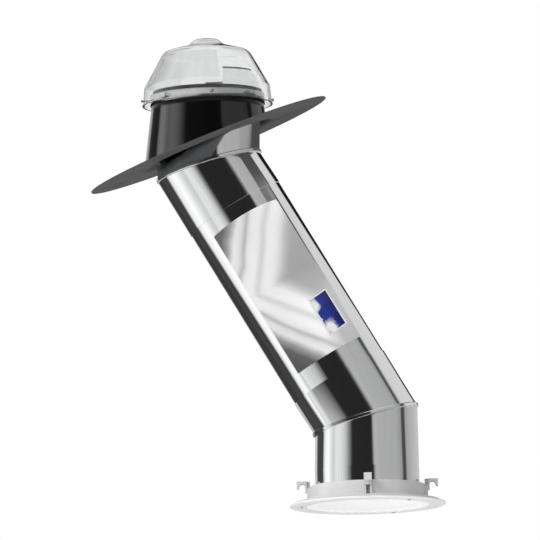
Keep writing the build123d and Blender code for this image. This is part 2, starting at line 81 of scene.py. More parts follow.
class Nodes:
    """A node tree, with short calls for the nodes that the finishes and the studio share."""

    def __init__(self, tree: bpy.types.NodeTree) -> None:
        """Take a node tree over and empty it."""
        self.tree = tree
        self.tree.nodes.clear()

    def node(self, kind: str, inputs: dict | None = None, **settings: object) -> bpy.types.Node:
        """Add a node.

        Args:
            kind: the node's type name after "ShaderNode".
            inputs: values or sockets by input name or number.
            settings: the node's own settings.

        Returns:
            The new node.
        """
        made = self.tree.nodes.new("ShaderNode" + kind)
        for name, value in settings.items():
            setattr(made, name, value)
        for key, value in (inputs or {}).items():
            if isinstance(value, Socket):
                self.tree.links.new(value, made.inputs[key])
            else:
                made.inputs[key].default_value = value
        return made

    def calc(self, how: Op, first: Socket | float, second: Socket | float = 0.0) -> Socket:
        """Work out a number."""
        return self.node("Math", {0: first, 1: second}, operation=how.value).outputs[0]

    def spread(self, value: Socket, low: float, high: float, to_low: float = 0.0, to_high: float = 1.0) -> Socket:
        """Map a value from one range to another, held at the ends."""
        given = {"Value": value, "From Min": low, "From Max": high, "To Min": to_low, "To Max": to_high}
        return self.node("MapRange", given).outputs["Result"]

    def split(self, vector: Socket) -> tuple[Socket, Socket, Socket]:
        """X, Y and Z of a vector."""
        parts = self.node("SeparateXYZ", {0: vector}).outputs
        return parts["X"], parts["Y"], parts["Z"]

    def dot(self, first: Socket, second: Socket | Triple) -> Socket:
        """Dot product of two vectors."""
        return self.node("VectorMath", {0: first, 1: second}, operation="DOT_PRODUCT").outputs["Value"]

    def blend(self, mask: Socket, first: Socket | Colour, second: Socket | Colour) -> Socket:
        """Blend two colours: the first where the mask is 0, the second where it is 1."""
        # The sockets of a Mix node share their names, so they go by number.
        first, second = (tone if isinstance(tone, Socket) else (*tone, 1.0) for tone in (first, second))
        return self.node("Mix", {0: mask, 6: first, 7: second}, data_type="RGBA").outputs[2]

    def ramp(self, value: Socket, steps: list[Pair]) -> Socket:
        """Run a value through a ramp of greys.

        Args:
            value: place on the ramp, from 0 to 1.
            steps: rising places on the ramp, each with its grey.

        Returns:
            The colour socket.
        """
        made = self.node("ValToRGB", {0: value})
        stops = made.color_ramp.elements
        while len(stops) > 1:
            stops.remove(stops[-1])
        for number, (place, grey) in enumerate(steps):
            stop = stops[0] if number == 0 else stops.new(place)
            stop.position = place
            stop.color = (grey, grey, grey, 1.0)
        return made.outputs[0]


class Bench(Nodes):
    """Node tree of one material, with the calls that only the finishes need."""

    def __init__(self, name: str) -> None:
        """Start an empty material.

        Args:
            name: the material's name.
        """
        self.material = bpy.data.materials.new(name)
        self.material.use_nodes = True
        super().__init__(self.material.node_tree)
        self.output = self.node("OutputMaterial")

    def place(self, lean: Lean = Lean.UPRIGHT, stretch: Triple = (1.0, 1.0, 1.0)) -> Socket:
        """Object coordinates turned to a tube's axis, then stretched along the turned X, Y and Z."""
        turned = self.turned(self.node("TexCoord").outputs["Object"], lean)
        return self.node("VectorMath", {0: turned, 1: stretch}, operation="MULTIPLY").outputs[0]

    def turned(self, vector: Socket, lean: Lean, back: bool = False) -> Socket:
        """Turn a vector so that a tube's axis becomes the local Z, or turn it back."""
        angle = math.radians(-lean.value if back else lean.value)
        return self.node("VectorRotate", {"Vector": vector, "Angle": angle}, rotation_type="Y_AXIS").outputs[0]

    def facing(self, lean: Lean) -> Socket:
        """The surface's own normal, turned to a tube's axis."""
        return self.turned(self.node("TexCoord").outputs["Normal"], lean)

    def noise(self, stretch: Triple, detail: float = 2.0, lean: Lean = Lean.UPRIGHT) -> Socket:
        """Noise from 0 to 1, finer with more stretch."""
        given = {"Vector": self.place(lean, stretch), "Scale": 1.0, "Detail": detail}
        return self.node("TexNoise", given).outputs["Fac"]

    def mottled(self, mask: Socket, tone: Colour, share: float, span: Pair = NOISE_CORE) -> Socket:
        """A tone that goes to a share of itself while the mask rises over a span."""
        return self.blend(self.spread(mask, *span), tone, shade(tone, share))

    def bump(self, height: Socket, depth: float, strength: float = 1.0, normal: Socket | None = None) -> Socket:
        """Normal from a height, over the mesh's own normal or a given one."""
        inputs = {"Height": height, "Strength": strength, "Distance": depth}
        return self.node("Bump", inputs | ({"Normal": normal} if normal else {})).outputs["Normal"]

    def principled(self, inputs: dict) -> bpy.types.Material:
        """End the material with a principled shader.

        Args:
            inputs: values or sockets by input name.

        Returns:
            The finished material.
        """
        shader = self.node("BsdfPrincipled", inputs)
        self.tree.links.new(shader.outputs[0], self.output.inputs["Surface"])
        return self.material


@dataclass(frozen=True)
class Streak:
    """One step of the painted light pattern on a tube's inner wall.

    The offset is in metres from the pattern's zero line, towards the tube's high side.
    """

    offset: float
    tone: float


@dataclass(frozen=True)
class Lining:
    """Silvered inner wall with painted light: streaks of daylight are painted over it and meet in a V on the low
    side.

    The fold is the V's height along the tube's axis, and the slope says how fast its arms part. A painted shade lies
    in a corner at the foot and in a strip along the high side. Each pair says where the shade starts and where it is
    full.
    """

    fold: float = -0.363
    slope: float = 0.75
    # Tones of the painted streaks of daylight, by offset.
    streaks: tuple[Streak, ...] = (
        Streak(-0.215, 0.10), Streak(-0.182, 0.14), Streak(-0.160, 0.38), Streak(-0.140, 0.90), Streak(-0.126, 0.84),
        Streak(-0.112, 0.56), Streak(-0.098, 0.92), Streak(-0.075, 0.98), Streak(-0.055, 0.74), Streak(-0.038, 0.98),
        Streak(-0.015, 0.93), Streak(0.000, 0.72), Streak(0.013, 0.55), Streak(0.030, 0.42), Streak(0.060, 0.38),
        Streak(0.110, 0.34),
    )
    ripple: float = 0.01
    ripple_grain: Triple = (16.0, 16.0, 16.0)
    plain: float = 0.80
    # Grey of the painted shade, and where it lies: a corner at the foot and a strip along the high side.
    shade: float = 0.48
    corner_along: Pair = (-0.523, -0.545)
    corner_across: Pair = (0.030, 0.070)
    strip_along: Pair = (-0.42, -0.45)
    strip_across: Pair = (0.080, 0.096)

    def tone(self, bench: Bench, across: Socket, along: Socket) -> Socket:
        """Colour of the wall, with its painted streaks of daylight and its painted shade.

        Args:
            bench: the material's bench.
            across: distance from the tube's axis towards its high side.
            along: height along the tube's axis.

        Returns:
            The colour socket.
        """
        # Painted light: streaks of daylight painted in a V.
        from_fold = bench.calc(Op.ABSOLUTE, bench.calc(Op.SUBTRACT, along, self.fold))
        arm = bench.calc(Op.MULTIPLY, from_fold, self.slope)
        noise = bench.noise(self.ripple_grain, lean=Lean.LEANING)
        ripple = bench.spread(noise, 0.0, 1.0, -self.ripple, self.ripple)
        offset = bench.calc(Op.ADD, bench.calc(Op.SUBTRACT, across, arm), ripple)
        low, high = self.streaks[0].offset, self.streaks[-1].offset
        steps = [((streak.offset - low) / (high - low), streak.tone) for streak in self.streaks]
        pattern = bench.ramp(bench.spread(offset, low, high), steps)
        # Painted shade in the foot corner and in the strip along the high side.
        corner = bench.calc(
            Op.MULTIPLY, bench.spread(along, *self.corner_along), bench.spread(across, *self.corner_across))
        strip = bench.calc(
            Op.MULTIPLY, bench.spread(along, *self.strip_along), bench.spread(across, *self.strip_across))
        return bench.blend(bench.calc(Op.MAXIMUM, corner, strip), pattern, (self.shade,) * 3)


@dataclass(frozen=True)
class Buckle:
    """Slight unevenness of a rolled sheet: how far its face is turned from a true round, by place round the tube.

    Places and turns are in degrees, from the -Y side towards the tube's high side. The sheet goes from its head's
    unevenness to its foot's, if that is another one, between two heights along the tube's axis. Its unevenness fades
    out between two places on its far side. No turn is greater than the reach.
    """

    head: Turns
    foot: Turns | None = None
    change: Pair = (-0.20, -0.55)
    fade: Pair = (90.0, 135.0)
    reach: float = 20.0

    def curve(self, bench: Bench, angle: Socket, turns: Turns) -> Socket:
        """Turn of the sheet by the place round the tube.

        Args:
            bench: the material's bench.
            angle: place round the tube in radians.
            turns: places and turns in degrees.

        Returns:
            The turn in radians.
        """
        curve = bench.node("FloatCurve", {"Value": bench.spread(angle, -math.pi / 2, math.pi / 2)})
        line = curve.mapping.curves[0]
        spots = [((place + 90.0) / 180.0, 0.5 + 0.5 * turn / self.reach) for place, turn in turns]
        line.points[0].location, line.points[1].location = spots[0], spots[-1]
        for spot in spots[1:-1]:
            line.points.new(*spot)
        for point in line.points:
            point.handle_type = "VECTOR"
        curve.mapping.update()
        reach = math.radians(self.reach)
        return bench.spread(curve.outputs[0], 0.0, 1.0, -reach, reach)

    def normal(self, bench: Bench, lean: Lean, axis: float) -> Socket:
        """World normal of the uneven sheet.

        Args:
            bench: the material's bench.
            lean: tilt of the tube.
            axis: the tube's axis in turned X.

        Returns:
            The normal socket.
        """
        x, y, z = bench.split(bench.place(lean))
        across = bench.calc(Op.SUBTRACT, x, axis)
        angle = bench.calc(Op.ARCTAN2, across, bench.calc(Op.MULTIPLY, y, -1.0))
        turn = self.curve(bench, angle, self.head)
        if self.foot:
            foot = self.curve(bench, angle, self.foot)
            turn = bench.node("Mix", {0: bench.spread(z, *self.change), 2: turn, 3: foot}).outputs[0]
        start, end = (math.radians(place) for place in self.fade)
        left = bench.spread(bench.calc(Op.ABSOLUTE, angle), start, end, 1.0, 0.0)
        around = {"Vector": bench.facing(lean), "Angle": bench.calc(Op.MULTIPLY, turn, left)}
        uneven = bench.node("VectorRotate", around, rotation_type="Z_AXIS").outputs[0]
        settings = {"vector_type": "NORMAL", "convert_from": "OBJECT", "convert_to": "WORLD"}
        return bench.node("VectorTransform", {0: bench.turned(uneven, lean, back=True)}, **settings).outputs[0]


@dataclass(frozen=True)
class MirrorSheet:
    """Bright rolled aluminium sheet: faint rolling streaks along the tube and slow waves across it.

    The inner wall has a painted glow of daylight, an emission that stands in for the dome's light carried down the
    tube, and the lining's painted streaks and shade.
    The rim is the share of the sheet's height at its top that is painted near black, as painted shade along the
    edge, and that tone reaches its full depth at edge_shade_full of the rim from the top.
    """

    name: str
    lean: Lean
    axis: float = 0.0
    buckle: Buckle | None = None
    lining: Lining = Lining()
    # Strength of the painted glow of daylight on the inner wall.
    daylight: float = 0.38
    tone: Colour = (0.90, 0.905, 0.91)
    streak_share: float = 0.94
    streak_grain: Triple = (420.0, 420.0, 5.0)
    streak_height: float = 0.004
    wave: float = 0.0016
    wave_grain: Triple = (9.0, 9.0, 2.2)
    roughness: float = 0.055
    streak_roughness: float = 0.05
    wall_roughness: float = 0.3
    # The rim and its near-black tone paint shade along the sheet's top edge.
    rim: float = 0.0
    fold: Colour = (0.08, 0.08, 0.08)
    edge_shade_full: float = 0.6

    def build(self) -> bpy.types.Material:
        """Make the material.

        Returns:
            The finished material.
        """
        bench = Bench(self.name)
        streaks = bench.noise(self.streak_grain, detail=3.0, lean=self.lean)
        waves = bench.noise(self.wave_grain, detail=1.0, lean=self.lean)
        roughness = bench.spread(streaks, *NOISE_CORE, self.roughness, self.roughness + self.streak_roughness)
        tone = bench.mottled(streaks, self.tone, self.streak_share, (0.35, 0.65))
        height = bench.calc(Op.ADD, waves, bench.calc(Op.MULTIPLY, streaks, self.streak_height))
        inside, wall = self.inner_wall(bench)
        # Painted shade: the top of the rim is painted near black, on both faces of the sheet.
        if self.rim:
            top = bench.split(bench.node("TexCoord").outputs["Generated"])[2]
            painted_edge_shade = bench.spread(top, 1.0 - self.rim, 1.0 - self.edge_shade_full * self.rim)
            tone, wall = bench.blend(painted_edge_shade, tone, self.fold), bench.blend(painted_edge_shade, wall, self.fold)
        uneven = self.buckle.normal(bench, self.lean, self.axis) if self.buckle else None
        return bench.principled({
            "Base Color": bench.blend(inside, tone, wall),
            "Metallic": bench.calc(Op.SUBTRACT, 1.0, inside),
            "Roughness": bench.calc(Op.ADD, roughness, bench.calc(Op.MULTIPLY, inside, self.wall_roughness)),
            "Normal": bench.bump(height, self.wave, normal=uneven),
            # Painted glow of daylight on the inner wall, which is no lamp.
            "Emission Color": wall,
            "Emission Strength": bench.calc(Op.MULTIPLY, inside, self.daylight),
        })

    def inner_wall(self, bench: Bench) -> tuple[Socket, Socket]:
        """Find the tube's inner wall and its colour.

        Args:
            bench: the material's bench.

        Returns:
            A mask that is 1 on the inner wall, and the wall's colour.
        """
        x, y, z = bench.split(bench.place(self.lean))
        across = bench.calc(Op.SUBTRACT, x, self.axis)
        spoke = bench.node("CombineXYZ", {"X": across, "Y": y}).outputs[0]
        inside = bench.calc(Op.LESS_THAN, bench.dot(spoke, bench.facing(self.lean)), 0.0)
        if self.lean is Lean.LEANING:
            return inside, self.lining.tone(bench, across, z)
        return inside, bench.node("CombineXYZ", dict.fromkeys("XYZ", self.lining.plain)).outputs[0]


@dataclass(frozen=True)
class FlashingPaint:
    """Black stoved paint: deep gloss on the turret, dull and dusty grey on the flange.

    The flare holds the heights over the roof between which the flange turns into the turret. The gloss ends at the
    turret's head, and it is duller on the side towards +X, where haze lies on it.
    """

    name: str
    roof_normal: Vector
    turret_tone: Colour = (0.003, 0.003, 0.0035)
    flange_tone: Colour = (0.098, 0.100, 0.103)
    dust_share: float = 0.7
    dust_grain: Triple = (11.0, 11.0, 11.0)
    dust_height: float = 3.0
    fine_grain: Triple = (900.0, 900.0, 900.0)
    flange_roughness: float = 0.62
    turret_roughness: float = 0.13
    flare: Pair = (0.003, 0.016)
    head: Pair = (0.092, 0.086)
    haze: Pair = (-0.035, 0.005)
    hazy_gloss: float = 0.5

    def build(self) -> bpy.types.Material:
        """Make the material.

        Returns:
            The finished material.
        """
        bench = Bench(self.name)
        coords = bench.node("TexCoord").outputs["Object"]
        x, _, z = bench.split(coords)
        turret = bench.spread(bench.dot(coords, tuple(self.roof_normal)), *self.flare)
        grain = bench.noise(self.fine_grain, detail=3.0)
        dust = bench.noise(self.dust_grain, detail=3.0)
        flange = bench.mottled(dust, self.flange_tone, self.dust_share)
        gloss = bench.spread(x, *self.haze, 1.0, self.hazy_gloss)
        below_head = bench.spread(z, *self.head)
        height = bench.calc(Op.ADD, grain, bench.calc(Op.MULTIPLY, dust, self.dust_height))
        return bench.principled({
            "Base Color": bench.blend(turret, flange, self.turret_tone),
            "Roughness": bench.spread(turret, 0.0, 1.0, self.flange_roughness, self.turret_roughness),
            "Normal": bench.bump(height, 0.0004, strength=0.25),
            "Specular IOR Level": 0.15,
            "Coat Weight": bench.calc(Op.MULTIPLY, turret, bench.calc(Op.MULTIPLY, gloss, below_head)),
            "Coat Roughness": 0.04,
            "Coat IOR": 1.85,
        })


@dataclass(frozen=True)
class ClearAcrylic:
    """Clear moulded acrylic, painted grey where it is seen edge on, standing in for the darker look a thick wall has
    there.
    """

    name: str
    face: Colour = (0.90, 0.903, 0.905)
    edge: Colour = (0.10, 0.102, 0.104)
    edge_span: Pair = (0.70, 0.94)
    wave_grain: Triple = (14.0, 14.0, 9.0)

    def build(self) -> bpy.types.Material:
        """Make the material.

        Returns:
            The finished material.
        """
        bench = Bench(self.name)
        slant = bench.node("LayerWeight", {"Blend": 0.5}).outputs["Facing"]
        return bench.principled({
            # Painted grey where the wall is seen edge on.
            "Base Color": bench.blend(bench.spread(slant, *self.edge_span), self.face, self.edge),
            "Roughness": 0.02,
            "Transmission Weight": 1.0,
            "IOR": 1.49,
            "Normal": bench.bump(bench.noise(self.wave_grain), 0.0012),
        })


@dataclass(frozen=True)
class PrismFilm:
    """Translucent panel of upright prisms, light grey against the sky. The count is of a whole turn."""

    name: str
    tone: Colour = (0.985, 0.987, 0.99)
    valley_share: float = 0.97
    prism_count: float = 35.0

    def build(self) -> bpy.types.Material:
        """Make the material.

        Returns:
            The finished material.
        """
        bench = Bench(self.name)
        x, y, _ = bench.split(bench.node("TexCoord").outputs["Object"])
        turn = bench.calc(Op.MULTIPLY, bench.calc(Op.ARCTAN2, y, x), self.prism_count)
        height = bench.calc(Op.MULTIPLY, bench.calc(Op.SINE, turn), 0.5)
        return bench.principled({
            "Base Color": bench.mottled(height, self.tone, self.valley_share, (-0.5, 0.5)),
            "Roughness": 0.18,
            "Transmission Weight": 0.92,
            "IOR": 1.15,
            "Normal": bench.bump(height, 0.0003, strength=0.2),
        })


@dataclass(frozen=True)
class Crown:
    """Rolled crown of a hoop, which stands proud at its middle and has painted shade at its edges and on one side.

    The side holds the places in X between which the painted shade on the hoop deepens, on its side away from the key
    light.
    """

    middle: float
    half: float
    proud: float
    # Painted shade: how deep it is at the edges and on the side away from the key light.
    edge_span: Pair = (0.1, 0.9)
    edge_share: float = 0.42
    side: Pair = (-0.03, 0.04)
    side_depth: float = 0.62
    side_share: float = 0.16

    def off_middle(self, bench: Bench) -> Socket:
        """Square of the way from the crown's middle to its edge.

        Args:
            bench: the material's bench.

        Returns:
            A socket that is 0 at the middle and 1 at the edge.
        """
        from_middle = bench.calc(Op.SUBTRACT, bench.split(bench.place())[2], self.middle)
        off = bench.calc(Op.DIVIDE, from_middle, self.half)
        return bench.calc(Op.MULTIPLY, off, off)

    def normal(self, bench: Bench) -> Socket:
        """Normal of the rolled crown."""
        return bench.bump(bench.calc(Op.MULTIPLY, self.off_middle(bench), -1.0), self.proud)

    def painted_shade(self, bench: Bench, painted_shade: Socket, tone: Colour) -> Socket:
        """Paint shade on the hoop, darker towards its edges and on its side away from the key light.

        Args:
            bench: the material's bench.
            painted_shade: the hoop's colour so far, which takes the painted shade.
            tone: the metal's plain tone.

        Returns:
            The colour with its painted shade.
        """
        # Painted shade at the edges and on the side away from the key light.
        edges = bench.spread(self.off_middle(bench), *self.edge_span)
        side = bench.spread(bench.split(bench.place())[0], *self.side, 0.0, self.side_depth)
        painted_shade = bench.blend(edges, painted_shade, shade(tone, self.edge_share))
        return bench.blend(side, painted_shade, shade(tone, self.side_share))


@dataclass(frozen=True)
class Metal:
    """Plain metal with a fine uneven grain, and a rolled crown with painted shade on a hoop that has one."""

    name: str
    tone: Colour
    roughness: float
    crown: Crown | None = None
    grain: Triple = (300.0, 300.0, 300.0)
    grain_share: float = 0.85
    grain_roughness: float = 1.4

    def build(self) -> bpy.types.Material:
        """Make the material.

        Returns:
            The finished material.
        """
        bench = Bench(self.name)
        grain = bench.noise(self.grain, detail=3.0)
        tone = bench.mottled(grain, self.tone, self.grain_share)
        rolled = self.crown.normal(bench) if self.crown else None
        return bench.principled({
            # A crowned hoop takes painted shade at its edges and on one side.
            "Base Color": self.crown.painted_shade(bench, tone, self.tone) if self.crown else tone,
            "Metallic": 1.0,
            "Roughness": bench.spread(grain, *NOISE_CORE, self.roughness, self.grain_roughness * self.roughness),
            "Normal": bench.bump(grain, 0.0001, strength=0.3, normal=rolled),
        })


@dataclass(frozen=True)
class Moulded:
    """Moulded plastic, foam or rubber: satin skin with a fine texture."""

    name: str
    tone: Colour
    roughness: float
    grain: float = 700.0
    grain_depth: float = 0.0002
    grain_roughness: float = 0.12
    cloud: float = 12.0
    cloud_share: float = 0.93

    def build(self) -> bpy.types.Material:
        """Make the material.

        Returns:
            The finished material.
        """
        bench = Bench(self.name)
        grain = bench.noise((self.grain,) * 3, detail=4.0)
        return bench.principled({
            "Base Color": bench.mottled(bench.noise((self.cloud,) * 3), self.tone, self.cloud_share),
            "Roughness": bench.spread(grain, 0.2, 0.8, self.roughness, self.roughness + self.grain_roughness),
            "Normal": bench.bump(grain, self.grain_depth, strength=0.35),
        })


@dataclass(frozen=True)
class Diffuser:
    """Frosted acrylic with a fine grid of prisms and a painted glow that stands in for the daylight from behind."""

    name: str
    tone: Colour = (0.94, 0.945, 0.95)
    pitch: float = 0.0045
    daylight: float = 0.17

    def build(self) -> bpy.types.Material:
        """Make the material.

        Returns:
            The finished material.
        """
        bench = Bench(self.name)
        cells = bench.node("TexVoronoi", {"Vector": bench.place(), "Scale": 1.0 / self.pitch})
        return bench.principled({
            "Base Color": (*self.tone, 1.0),
            "Roughness": 0.3,
            # Painted glow of daylight: the lens is no lamp.
            "Emission Color": (*self.tone, 1.0),
            "Emission Strength": self.daylight,
            "Transmission Weight": 0.15,
            "IOR": 1.45,
            "Normal": bench.bump(cells.outputs["Distance"], 0.0006, strength=0.3),
        })


@dataclass(frozen=True)
class Cloud:
    """One soft white cloud on the label, in halves of the print's width and length from its middle."""

    across: float
    along: float
    size: float


@dataclass(frozen=True)
class LabelPrint:
    """Blank printed film: white border with a grey cut edge round a blue field with soft clouds on its left, and a
    painted glow of daylight.
    """

    name: str
    centre: Vector
    half_width: float
    half_length: float
    border: float = 0.0035
    border_fall: float = 0.0006
    cut: float = 0.0014
    bright: Colour = (0.018, 0.035, 0.30)
    deep: Colour = (0.008, 0.012, 0.075)
    deep_span: Pair = (-0.1, 0.75)
    paper: Colour = (0.90, 0.90, 0.91)
    cut_edge: Colour = (0.45, 0.45, 0.44)
    daylight: float = 0.25
    clouds: tuple[Cloud, ...] = (Cloud(-0.85, 0.62, 0.55), Cloud(-0.45, -0.72, 0.62), Cloud(-0.95, -0.1, 0.22))
    cloud_flatness: float = 2.2
    cloud_fall: Pair = (1.15, 0.55)
    rag: float = 0.18
    rag_grain: Triple = (90.0, 90.0, 60.0)
    grain: Triple = (500.0, 500.0, 500.0)

    def build(self) -> bpy.types.Material:
        """Make the material.

        Returns:
            The finished material.
        """
        bench = Bench(self.name)
        coords = bench.node("TexCoord").outputs["Object"]
        shifted = bench.node("VectorMath", {0: coords, 1: tuple(self.centre)}, operation="SUBTRACT").outputs[0]
        across, _, along = bench.split(bench.turned(shifted, Lean.LEANING))
        border = self.margin(bench, across, along, self.border, self.border_fall)
        cut = self.margin(bench, across, along, self.cut, self.cut)
        bordered = bench.blend(border, self.sky(bench, across, along), self.paper)
        tone = bench.blend(cut, bordered, self.cut_edge)
        return bench.principled({
            "Base Color": tone,
            # Painted glow of daylight: the print is no lamp.
            "Emission Color": tone,
            "Emission Strength": self.daylight,
            "Roughness": 0.32,
            "Normal": bench.bump(bench.noise(self.grain), 0.0001, strength=0.1),
        })

    def margin(self, bench: Bench, across: Socket, along: Socket, width: float, fall: float) -> Socket:
        """Find a margin of the print.

        Args:
            bench: the material's bench.
            across: distance from the print's middle across it.
            along: distance from the print's middle along it.
            width: width of the margin.
            fall: part of the width over which it comes in.

        Returns:
            A mask that is 1 in the margin and 0 inside it.
        """
        side, end = (
            bench.spread(bench.calc(Op.ABSOLUTE, place), half - width, half - width + fall)
            for place, half in ((across, self.half_width), (along, self.half_length))
        )
        return bench.calc(Op.MAXIMUM, side, end)

    def sky(self, bench: Bench, across: Socket, along: Socket) -> Socket:
        """Blue field with its clouds.

        Args:
            bench: the material's bench.
            across: distance from the print's middle across it.
            along: distance from the print's middle along it.

        Returns:
            The colour socket.
        """
        x = bench.spread(across, -self.half_width, self.half_width, -1.0, 1.0)
        z = bench.spread(along, -self.half_length, self.half_length, -1.0, 1.0)
        noise = bench.noise(self.rag_grain, detail=3.0, lean=Lean.LEANING)
        rag = bench.spread(noise, 0.2, 0.8, -self.rag, self.rag)
        sky = bench.blend(bench.spread(bench.calc(Op.ADD, x, rag), *self.deep_span), self.bright, self.deep)
        for cloud in self.clouds:
            off_x, off_z = bench.calc(Op.SUBTRACT, x, cloud.across), bench.calc(Op.SUBTRACT, z, cloud.along)
            square_x, square_z = bench.calc(Op.MULTIPLY, off_x, off_x), bench.calc(Op.MULTIPLY, off_z, off_z)
            square = bench.calc(Op.ADD, square_x, bench.calc(Op.MULTIPLY, square_z, self.cloud_flatness))
            gap = bench.calc(Op.ADD, bench.calc(Op.POWER, square, 0.5), rag)
            start, full = (share * cloud.size for share in self.cloud_fall)
            sky = bench.blend(bench.spread(gap, start, full), sky, self.paper)
        return sky


def dress(node: str, material: bpy.types.Material) -> None:
    """Give a CAD node its finish.

    Args:
        node: the node's name.
        material: the finish.
    """
    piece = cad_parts[node]
    piece.data.materials.clear()
    piece.data.materials.append(material)
    log.info("%s wears %s", node, material.name)


@dataclass
class RoofGroup:
    """Dome with what is inside it, the flashing, and the top tube with its half of the elbow."""

    pitch: float = 21.0
    turn: float = 9.5
    seal_tone: Colour = (0.012, 0.012, 0.013)
    ring_tone: Colour = (0.72, 0.73, 0.74)
    # The ring's crown also paints shade on its edges and on its side away from the key light.
    ring_crown: Crown = Crown(middle=0.113, half=0.012, proud=0.004)
    screw_tone: Colour = (0.80, 0.80, 0.81)
    # Share of the reflector's height painted near black as shade along its top edge.
    reflector_rim: float = 0.10
    top_turns: Turns = ((-90, 0.0), (38, 0.0), (57, -14.0), (62, -16.0), (75, -29.0), (90, -44.0))
    top_reach: float = 45.0

    def roof_normal(self) -> Vector:
        """Unit normal of the roof flange."""
        pitch, turn = math.radians(self.pitch), math.radians(self.turn)
        return Vector((-math.sin(pitch) * math.cos(turn), -math.sin(pitch) * math.sin(turn), math.cos(pitch)))

    def build(self) -> None:
        """Dress every piece of the group."""
        dress("outer_dome", ClearAcrylic("clear_acrylic").build())
        dress("prism_lens", PrismFilm("prism_film").build())
        reflector = MirrorSheet("reflector_film", Lean.UPRIGHT, roughness=0.12, rim=self.reflector_rim)
        dress("dome_mirror", reflector.build())
        dress("dome_ring", Metal("ring_metal", self.ring_tone, roughness=0.16, crown=self.ring_crown).build())
        dress("tube_seal", Moulded("black_seal", self.seal_tone, roughness=0.55).build())
        dress("dome_screws", Metal("dome_screw_steel", self.screw_tone, roughness=0.5).build())
        dress("flashing", FlashingPaint("black_paint", self.roof_normal()).build())
        buckle = Buckle(self.top_turns, reach=self.top_reach)
        dress("top_elbow_upper", MirrorSheet("mirror_top", Lean.UPRIGHT, buckle=buckle).build())


@dataclass
class LeaningLeg:
    """The leaning tube with its window, the blank label inside, and the two elbow halves on it.

    The label's place is its distance from the top joint along the tube, and its angle is counted from the tube's +Y
    side towards the high side.
    """

    top_joint_z: float = -0.053
    tube_inside: float = 0.125
    label_place: float = 0.4445
    label_angle: float = 34.0
    label_width: float = 0.060
    label_length: float = 0.102
    head_turns: Turns = (
        (-90, 0.0), (6, 0.0), (12, -4.0), (18, -4.0), (24, -1.5), (30, 0.0), (33.5, 10.5), (48, -4.0), (53, 0.0),
        (90, 0.0),
    )
    middle_turns: Turns = (
        (-90, 0.0), (-62, -5.0), (-51, -4.0), (-46, 0.0), (-41, 6.0), (-36, 11.0), (-28, 5.0), (-22, 1.5), (-16, 0.0),
        (-5, 3.0), (10, 5.0), (41, 4.0), (52, 0.0), (63, -6.0), (78, -8.0), (90, 0.0),
    )
    foot_turns: Turns = (
        (-90, 33.5), (-77, 20.5), (-70, 6.0), (-62, -5.0), (-50, -4.0), (-45, 17.0), (-38, 20.0), (-31, 14.0),
        (-27, 10.5), (-22, 6.5), (-16, 4.0), (0, 7.5), (12, 7.0), (41, 4.0), (52, 0.0), (63, -6.0), (78, -8.0),
        (90, 0.0),
    )
    foot_reach: float = 35.0

    def label_print(self) -> LabelPrint:
        """Work out where the print lies on the tube's inner far wall.

        Returns:
            The label's finish, at its place.
        """
        lean, angle = math.radians(Lean.LEANING.value), math.radians(self.label_angle)
        along = Vector((math.sin(lean), 0.0, -math.cos(lean)))
        across = Vector((math.cos(lean), 0.0, math.sin(lean)))
        half_turn = 0.5 * self.label_width / self.tube_inside
        off_axis = self.tube_inside * math.sin(angle) * math.cos(half_turn)
        joint = Vector((0.0, 0.0, self.top_joint_z))
        centre = joint + along * self.label_place + across * off_axis + Vector((0.0, self.tube_inside, 0.0))
        half_width = self.tube_inside * math.cos(angle) * math.sin(half_turn)
        return LabelPrint("blue_print", centre, half_width, 0.5 * self.label_length)

    def build(self) -> None:
        """Dress every piece of the leg."""
        axis = self.top_joint_z * math.sin(math.radians(Lean.LEANING.value))
        buckles = {
            "top_elbow_lower": Buckle(self.head_turns),
            "extension_tube": Buckle(self.head_turns, self.middle_turns),
            "bottom_elbow_upper": Buckle(self.foot_turns, reach=self.foot_reach),
        }
        for node, buckle in buckles.items():
            dress(node, MirrorSheet("mirror_" + node, Lean.LEANING, axis, buckle).build())
        dress("inner_label", self.label_print().build())


@dataclass
class CeilingGroup:
    """Bottom tube, ceiling ring with hooks and screws, trim ring and diffuser."""

    axis: float = 0.36585
    sides: tuple[str, ...] = ("right", "back", "left", "front")
    ring_tone: Colour = (0.74, 0.74, 0.74)
    trim_tone: Colour = (0.90, 0.90, 0.90)
    clamp_tone: Colour = (0.66, 0.66, 0.66)
    foam_tone: Colour = (0.78, 0.78, 0.77)
    clamp_screw_tone: Colour = (0.5, 0.5, 0.51)
    trim_screw_tone: Colour = (0.85, 0.85, 0.86)

    def build(self) -> None:
        """Dress every piece of the group."""
        dress("bottom_tube", MirrorSheet("mirror_bottom", Lean.UPRIGHT, self.axis).build())
        dress("ceiling_ring", Moulded("white_ring", self.ring_tone, roughness=0.3).build())
        dress("trim_ring", Moulded("white_trim", self.trim_tone, roughness=0.28).build())
        foam = Moulded("white_foam", self.foam_tone, roughness=0.85, grain=900.0, grain_depth=0.0006).build()
        dress("ceiling_seal", foam)
        dress("lens_gasket", foam)
        clamp = Moulded("clamp_plastic", self.clamp_tone, roughness=0.38).build()
        for side in self.sides:
            dress("clamp_" + side, clamp)
        dress("clamp_screws", Metal("screw_steel", self.clamp_screw_tone, roughness=0.35).build())
        dress("trim_screws", Metal("trim_screw_steel", self.trim_screw_tone, roughness=0.6).build())
        lens = Diffuser("frosted_lens").build()
        dress("diffuser_lens", lens)
        dress("upper_lens", lens)


@dataclass(frozen=True)
class Band:
    """One step of the studio's light round the horizon.

    The bearing is in degrees from the camera's side (-Y) towards +X.
    """

    bearing: float
    light: float


@dataclass(frozen=True)
class Patch:
    """One panel of the studio with a top and a bottom edge.

    Each span holds four angles in degrees: where the panel starts to show, shows fully, still shows fully and ends.
    """

    light: float
    bearing: tuple[float, float, float, float]
    rise: tuple[float, float, float, float]


